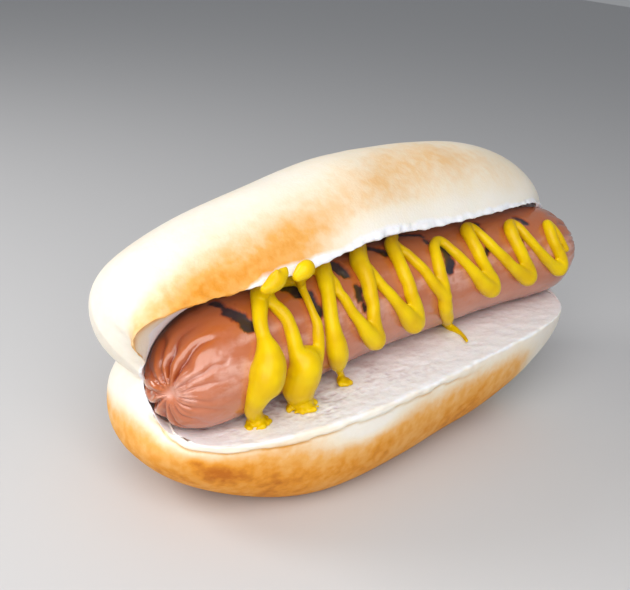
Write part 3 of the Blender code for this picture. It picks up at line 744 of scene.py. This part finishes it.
skin, tree, shader, place = new_finish("grilled casing", 0.36, 0.10, (1.0, 0.35, 0.2), 0.8 * MM, 1.0, 0.14)
stretched = add_node(tree, "ShaderNodeMapping", (-1050, 100), {"Vector": place, "Scale": (0.35, 1.0, 1.0)}).outputs["Vector"]
streaks = mottle(tree, (-850, 300), stretched, 260.0, 5.0, 0.38, 0.62)
freckles = mottle(tree, (-850, -50), place, 700.0, 3.0, 0.45, 0.75)
# The pale pink band is a painted sheen on the streaky skin
pale = maths(tree, (-650, 300), "MULTIPLY", streaks, attribute_value(tree, (-850, 450), "pale"))
orange = maths(tree, (-750, 100), "MULTIPLY_ADD", freckles, 0.35, attribute_value(tree, (-850, 100), "roast_and_lip_shade"))
orange = maths(tree, (-650, 100), "MULTIPLY_ADD", streaks, 0.25, orange, clamp=True)
colour = mix_colour(tree, (-500, 300), pale, SKIN_TAN, SKIN_PINK)
colour = mix_colour(tree, (-300, 300), orange, colour, SKIN_ORANGE)
# Painted shade: the grooves between the folds turn red
colour = mix_colour(tree, (-100, 300), attribute_value(tree, (-300, 0), "fold_shade"), colour, SKIN_RED)
char_value = attribute_value(tree, (-850, -200), "char")
scorch = add_node(tree, "ShaderNodeMapRange", (-500, -200), {
    "Value": char_value, "From Min": 0.0, "From Max": 0.30, "To Max": 0.80}).outputs["Result"]
colour = mix_colour(tree, (100, 300), scorch, colour, SKIN_RED)
burnt = add_node(tree, "ShaderNodeMapRange", (-500, -400), {
    "Value": char_value, "From Min": 0.3, "From Max": 0.75}).outputs["Result"]
colour = mix_colour(tree, (300, 300), burnt, colour, CHAR_BLACK)
tree.links.new(colour, shader.inputs["Base Color"])
wrinkles = add_node(tree, "ShaderNodeTexNoise", (-300, -500), {"Vector": stretched, "Scale": 900.0, "Detail": 4.0})
bump = add_node(tree, "ShaderNodeBump", (500, -300), {
    "Strength": 0.25, "Distance": 0.2 * MM, "Height": wrinkles.outputs["Fac"]})
tree.links.new(bump.outputs["Normal"], shader.inputs["Normal"])
sausage.data.materials.append(skin)
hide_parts("sausage")
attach(sausage, "root")


# ----------------------------------------------------------------- mustard
# Smooth yellow mustard squeezed from a nozzle in a zigzag across the sausage.
# Its strands run together where they meet, swell at each turn, and the longest
# run down and spread a little foot on the crumb.

MUSTARD_VOXEL = 0.32 * MM
BEAD_STEP = 0.5 * MM
BEAD_SWELL = 0.12               # mm that a bead settles outwards
# Strands: (x in mm, angle in degrees from the top towards the front, bead radius in mm)
STRANDS = {
    "near": (
        (-44, 14, 1.8), (-46.4, 27, 1.6), (-47.7, 35, 1.45), (-48.6, 43, 1.35), (-49, 52, 1.4),
        (-49.2, 58, 1.95), (-49.4, 65, 2.6), (-49.8, 73, 3.3), (-50.4, 79, 3.6), (-51.1, 87, 3.6),
        (-52, 95, 2.7), (-52.2, 105, 2.1), (-51.2, 121, 1.7)),
    "middle": (
        (-42.2, 15, 1.4), (-42.9, 27, 1.2), (-42.2, 38, 1.3), (-41.6, 48, 1.3), (-41.7, 58, 1.4),
        (-41.7, 68, 1.5), (-41.5, 77, 1.8), (-40.2, 87, 3.5), (-39.6, 98, 3.7), (-39.7, 112, 3.6)),
    "web": ((-40.1, 80, 1.4), (-38.1, 82, 1.4), (-36.3, 85, 1.4)),
    "thin": (
        (-32.2, 17, 1.0), (-33.5, 26, 0.75), (-33.9, 34, 0.7), (-34.2, 43, 0.75), (-34.3, 53, 0.8),
        (-34.2, 62, 1.0), (-34.6, 71, 1.2), (-34.7, 80, 1.2), (-35.2, 89, 1.4), (-36, 99, 1.7)),
    "hanging": (
        (-22, 2, 1.4), (-24.8, 15, 1.75), (-27.2, 30, 1.7), (-28.4, 41, 1.5), (-29.3, 50, 1.5),
        (-29.9, 59, 1.5), (-30.2, 68, 1.6), (-30.1, 77, 1.85), (-29.5, 87, 2.2), (-28.5, 98, 2.25),
        (-27, 111, 1.8), (-24.5, 125, 1.0)),
    "first turn": (
        (-25.5, 23, 1.3), (-24.7, 32, 1.1), (-25, 42, 1.1), (-24.2, 50, 1.1), (-23.4, 62, 1.1),
        (-21.6, 74, 1.3), (-19.3, 87, 1.8), (-15.8, 100, 2.4), (-16.2, 90, 1.7), (-16.9, 76, 1.5),
        (-16.5, 65, 1.45), (-16.5, 55, 1.6), (-15.8, 46, 1.65), (-15.2, 34, 1.8), (-14.4, 22, 2.1),
        (-12.1, 10, 2.0), (-8, -2, 1.2)),
    "second turn": (
        (-13.7, 27, 1.4), (-13.2, 34, 1.3), (-12.6, 43, 1.2), (-11.5, 53, 1.2), (-9.9, 63, 1.25),
        (-8, 74, 1.4), (-5.6, 86, 1.9), (-2.3, 99, 2.5), (-1.2, 92, 1.7), (-2.3, 80, 1.6),
        (-3.5, 69, 1.6), (-3.5, 59, 1.5), (-3.7, 48, 1.5), (-3.2, 35, 1.5), (-2.2, 22, 1.6),
        (0.1, 8, 1.6), (4.8, -5, 1.0)),
    "third turn": (
        (0.2, 12, 1.3), (0.4, 19, 1.2), (1.2, 28, 1.15), (2.1, 40, 1.15), (3.4, 51, 1.2),
        (4.7, 63, 1.3), (6.9, 74, 1.4), (8.8, 83, 1.7)),
    "drip": ((8.4, 70, 1.5), (8.8, 86, 1.65), (10.1, 99, 1.65), (13.5, 116, 1.4)),
    "zigzag": (
        (8.8, 86, 1.65), (8.5, 75, 1.5), (8.3, 65, 1.5), (8.2, 54, 1.5), (9.3, 41, 1.35),
        (10.7, 30, 1.3), (12.6, 24, 1.15), (14.2, 23, 1.1), (15, 27, 1.1), (15.7, 35, 1.1),
        (16.7, 45, 1.2), (18.5, 56, 1.2), (20.9, 69, 1.5), (24, 83, 2.0), (27.6, 91, 2.3),
        (27.8, 81, 1.6), (25.8, 69, 1.5), (24.4, 57, 1.5), (24.2, 46, 1.6), (24.5, 33, 1.6),
        (25.7, 20, 1.6), (27.7, 14, 1.15), (28.8, 18, 1.1), (29.2, 28, 1.15), (29.9, 39, 1.2),
        (31.1, 50, 1.2), (33.3, 61, 1.3), (36.1, 73, 1.4), (39.3, 83, 1.8), (43, 91, 2.3),
        (43.4, 82, 1.6), (41.4, 70, 1.55), (40.4, 58, 1.55), (39.9, 46, 1.55), (40.6, 33, 1.7),
        (42.5, 25, 1.3), (44.1, 27, 1.1), (44.8, 35, 1.15), (45.5, 46, 1.2), (47.2, 58, 1.25),
        (50, 72, 1.35), (53.3, 83, 1.5), (57, 91, 2.1), (58, 82, 1.65), (56.1, 68, 1.6),
        (55.1, 56, 1.5), (55.5, 44, 1.5), (56.4, 35, 1.25), (57.4, 38, 1.0), (58, 47, 1.0),
        (58.8, 58, 1.0), (60.2, 70, 0.9)),
    "under the lip": (
        (-43.2, 14, 1.7), (-38, 10, 1.3), (-32.2, 15, 1.0), (-27, 8, 1.0), (-23.5, 5, 1.3)),
}
# Feet on the crumb that end a strand: (x, y from the centre line, bead radius) in mm
FEET = {
    "near": ((-48.3, -9.6, 1.7), (-49.3, -11.2, 1.7)),
    "middle": ((-37, -11.5, 2.8), (-38.5, -13.8, 2.3)),
    "hanging": ((-21.8, -9.8, 0.8), (-24.1, -12.5, 1.0)),
    "drip": ((22, -5.5, 1.3), (19.8, -8.5, 1.1), (19, -11.2, 0.9), (17.6, -14.2, 0.55), (14.7, -17.9, 0.5)),
}
# Ragged rims of the feet: how many dabs, and how far out from the foot's last bead in mm
FOOT_DABS = {"near": (13, 2.3), "middle": (15, 2.8), "hanging": (8, 1.4)}
# Drops that cling to the upper lip: (x, y and z off the centre line, radius) in mm
LIP_DROPS = {
    "comma": ((-50, -11.0, 18.9, 1.1), (-48.6, -11.2, 19.3, 1.6), (-47, -11.2, 20.0, 1.8), (-45.6, -11.2, 20.8, 1.2)),
    "first horn": ((-47.2, -11.2, 20.2, 1.2), (-47.5, -11.3, 21.8, 0.6)),
    "second horn": ((-46, -11.2, 20.5, 1.1), (-44.9, -11.2, 21.5, 0.55)),
    "ball": ((-41.4, -11.4, 19.0, 1.2), (-40, -11.6, 19.8, 1.85), (-39.2, -11.6, 20.2, 1.7)),
}
# Necks that join the drops to the strands under them: drop, first and last point as above
NECKS = {"comma": ((-47.5, -11, 19.2), (-44, 14), 1.5), "ball": ((-40.5, -11.2, 19), (-33, 20), 0.9)}
BEAD_LIFT = 0.25 * MM           # the casing to a bead's centre, over a share of its radius


def bead_on_sausage(x, angle, radius):
    radius = (radius + BEAD_SWELL) * MM
    return (*around_point(x, angle, 0.35 * radius + BEAD_LIFT), radius)


def bead_on_crumb(x, y, radius):
    centre = sausage_axis(np.float64(x * MM))
    slope = (-SAUSAGE_RADIUS - LOWER_LIP[1]) / -LOWER_LIP[0]
    z = centre[1] - SAUSAGE_RADIUS + slope * y * MM
    return (x * MM, centre[0] + y * MM, z + 0.3 * radius * MM, radius * MM)


def bead_on_lip(x, y, z, radius):
    centre = sausage_axis(np.float64(x * MM))
    return (x * MM, centre[0] + y * MM, centre[1] + z * MM, radius * MM)


def smooth_line(points, step):
    """A Catmull-Rom curve through the points, with a point about every step."""
    points = np.vstack([2 * points[0] - points[1], points, 2 * points[-1] - points[-2]])
    line = []
    for index in range(1, len(points) - 2):
        before, start, end, after = points[index - 1:index + 3]
        count = max(2, int(np.linalg.norm((end - start)[:3]) / step))
        for t in np.linspace(0.0, 1.0, count, endpoint=False):
            line.append(0.5 * (2 * start + (end - before) * t
                               + (2 * before - 5 * start + 4 * end - after) * t ** 2
                               + (3 * start - before - 3 * end + after) * t ** 3))
    line.append(points[-2])
    return np.array(line)


def squeeze_bead(name, points):
    """A tube along the points with the radius of each, and a ball on each end."""
    line = smooth_line(np.array(points), BEAD_STEP)
    curve = bpy.data.curves.new(name, "CURVE")
    curve.dimensions = "3D"
    curve.bevel_depth = 1.0
    curve.bevel_resolution = 6
    curve.use_fill_caps = True
    spline = curve.splines.new("POLY")
    spline.points.add(len(line) - 1)
    for target, (x, y, z, radius) in zip(spline.points, line):
        target.co = (x, y, z, 1.0)
        target.radius = radius
    tube = bpy.data.objects.new(name, curve)
    scene.collection.objects.link(tube)
    bpy.ops.object.select_all(action="DESELECT")
    tube.select_set(True)
    bpy.context.view_layer.objects.active = tube
    bpy.ops.object.convert(target="MESH")
    pieces = [bpy.context.object]
    for x, y, z, radius in (points[0], points[-1]):
        bpy.ops.mesh.primitive_uv_sphere_add(segments=24, ring_count=16, radius=radius, location=(x, y, z))
        bpy.ops.object.transform_apply(location=True)
        pieces.append(bpy.context.object)
    return pieces


beads = []
for name, strand in STRANDS.items():
    route = [bead_on_sausage(*point) for point in strand]
    route += [bead_on_crumb(*point) for point in FEET.get(name, ())]
    beads += squeeze_bead(name, route)
for name, (count, reach) in FOOT_DABS.items():
    x, y, radius = FEET[name][-1]
    for dab in range(count):
        turn = 2.0 * math.pi * (dab + 0.35 * math.sin(5.1 * dab)) / count
        out = reach * (1.0 + 0.16 * math.sin(7.3 * dab + 1.0))
        size = 0.62 + 0.2 * math.sin(3.7 * dab)
        dab_place = bead_on_crumb(x + out * math.cos(turn), y + out * math.sin(turn), size)[:3]
        bpy.ops.mesh.primitive_uv_sphere_add(segments=16, ring_count=10, radius=size * MM, location=dab_place)
        bpy.ops.object.transform_apply(location=True)
        beads.append(bpy.context.object)
for name, drop in LIP_DROPS.items():
    beads += squeeze_bead(name, [bead_on_lip(*point) for point in drop])
for name, (start, (x, angle), radius) in NECKS.items():
    beads += squeeze_bead(name + " neck", [bead_on_lip(*start, radius), bead_on_sausage(x, angle, radius)])
mustard = join_pieces(beads, 0.01 * MM)
mustard.name = "squeezed_mustard"
merge = mustard.modifiers.new("run together", "REMESH")
merge.mode = "VOXEL"
merge.voxel_size = MUSTARD_VOXEL
relax = mustard.modifiers.new("settle", "SMOOTH")
relax.factor = 0.5
relax.iterations = 8
for modifier in (merge.name, relax.name):
    bpy.ops.object.modifier_apply(modifier=modifier)
points, normals = points_and_normals(mustard)
push_out(mustard, 0.12 * MM * grain(points, 5 * MM, 2, 3.0))
mustard.data.shade_smooth()

MUSTARD_BRIGHT = (0.82, 0.58, 0.0005, 1.0)
MUSTARD_DEEP = (0.72, 0.46, 0.0003, 1.0)

paste, tree, shader, place = new_finish("yellow mustard", 0.34, 0.2, (1.0, 0.85, 0.1), 0.7 * MM)
thick = mottle(tree, (-600, 200), place, 160.0, 2.0, 0.35, 0.65)
colour = mix_colour(tree, (-200, 200), thick, MUSTARD_BRIGHT, MUSTARD_DEEP)
tree.links.new(colour, shader.inputs["Base Color"])
shader.inputs["Specular IOR Level"].default_value = 0.22
swirl = add_node(tree, "ShaderNodeTexNoise", (-300, -500), {"Vector": place, "Scale": 500.0, "Detail": 3.0})
bump = add_node(tree, "ShaderNodeBump", (500, -300), {
    "Strength": 0.15, "Distance": 0.15 * MM, "Height": swirl.outputs["Fac"]})
tree.links.new(bump.outputs["Normal"], shader.inputs["Normal"])
mustard.data.materials.clear()
mustard.data.materials.append(paste)
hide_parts("mustard")
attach(mustard, "root")
